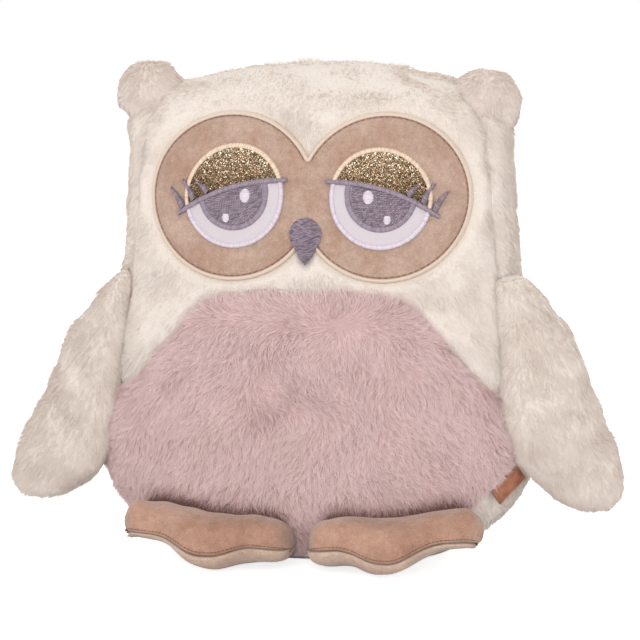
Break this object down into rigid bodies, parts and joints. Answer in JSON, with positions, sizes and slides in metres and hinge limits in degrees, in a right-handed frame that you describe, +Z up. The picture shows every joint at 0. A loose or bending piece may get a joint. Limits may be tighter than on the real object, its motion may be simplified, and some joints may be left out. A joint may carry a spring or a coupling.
{
  "type": "plush owl",
  "caption": "Seated soft toy owl with a wide pillow-shaped body, a fluffy belly, sewn-on wings and feet, ear tufts and sleepy embroidered eyes on a velour mask.",
  "frame": {"origin": "Middle of the flat base, on the surface that the owl sits on.", "axes": "+Z up, -Y the way the owl faces, +X the owl's own left side."},
  "size_m": [0.3062, 0.1395, 0.242],
  "materials": {
    "cream_plush": "soft cream short-pile plush",
    "mauve_plush": "dusty mauve long-pile plush",
    "tan_velour": "tan velour",
    "sole_velour": "beige velour",
    "white_satin": "white satin and satin stitch",
    "ivory_thread": "ivory satin stitch",
    "slate_thread": "grey mauve filled embroidery",
    "pale_slate_thread": "paler grey mauve satin stitch",
    "gold_glitter": "gold glitter cloth",
    "copper_leather": "copper leatherette, bare",
    "filling": "white polyester fibre"
  },
  "bodies": {
    "body": {"head_front_panel": "cream_plush", "belly_panel": "mauve_plush", "back_panel_left": "cream_plush", "back_panel_right": "cream_plush", "base_panel": "cream_plush", "body_filling": "filling", "ear_left": "cream_plush", "ear_right": "cream_plush", "face_mask": "tan_velour", "beak": "slate_thread", "eye_left_white": "white_satin", "eye_left_white_edging": "white_satin", "eye_left_iris": "slate_thread", "eye_left_iris_ring": "pale_slate_thread", "eye_left_eyelid": "gold_glitter", "eye_left_eyelid_edging": "ivory_thread", "eye_left_lid_line": "pale_slate_thread", "eye_left_glint_large": "white_satin", "eye_left_glint_small": "white_satin", "eye_left_lash_outer": "slate_thread", "eye_left_lash_middle": "slate_thread", "eye_left_lash_inner": "slate_thread", "eye_right_white": "white_satin", "eye_right_white_edging": "white_satin", "eye_right_iris": "slate_thread", "eye_right_iris_ring": "pale_slate_thread", "eye_right_eyelid": "gold_glitter", "eye_right_eyelid_edging": "ivory_thread", "eye_right_lid_line": "pale_slate_thread", "eye_right_glint_large": "white_satin", "eye_right_glint_small": "white_satin", "eye_right_lash_outer": "slate_thread", "eye_right_lash_middle": "slate_thread", "eye_right_lash_inner": "slate_thread"},
    "wing_left": {"wing_left_front_panel": "cream_plush", "wing_left_back_panel": "cream_plush", "wing_left_filling": "filling"},
    "wing_right": {"wing_right_front_panel": "cream_plush", "wing_right_back_panel": "cream_plush", "wing_right_filling": "filling"},
    "foot_left": {"foot_left_upper": "tan_velour", "foot_left_sole": "sole_velour", "foot_left_filling": "filling"},
    "foot_right": {"foot_right_upper": "tan_velour", "foot_right_sole": "sole_velour", "foot_right_filling": "filling"},
    "label": {"label": "copper_leather"}
  },
  "joints": [
    {"name": "wing_left_swing", "type": "hinge", "parent": "body", "child": "wing_left", "pos_m": [0.09209, -0.024, 0.132], "axis": [0.1129, -0.0951, -0.989], "range_deg": [-30, 85], "stiffness_Nm_per_rad": 0.03},
    {"name": "wing_right_swing", "type": "hinge", "parent": "body", "child": "wing_right", "pos_m": [-0.09209, -0.024, 0.132], "axis": [0.1129, 0.0951, 0.989], "range_deg": [-30, 85], "stiffness_Nm_per_rad": 0.03},
    {"name": "foot_left_flex", "type": "hinge", "parent": "body", "child": "foot_left", "pos_m": [0.045, -0.04835, 0.014], "axis": [-0.9962, -0.0522, -0.0698], "range_deg": [-6, 20], "stiffness_Nm_per_rad": 0.03},
    {"name": "foot_right_flex", "type": "hinge", "parent": "body", "child": "foot_right", "pos_m": [-0.045, -0.04835, 0.014], "axis": [-0.9962, 0.0522, 0.0698], "range_deg": [-6, 20], "stiffness_Nm_per_rad": 0.03},
    {"name": "label_flip", "type": "hinge", "parent": "body", "child": "label", "pos_m": [0.09489, -0.03485, 0.04302], "axis": [-0.5986, -0.5103, -0.6175], "range_deg": [-15, 65], "stiffness_Nm_per_rad": 0.0005}
  ]
}
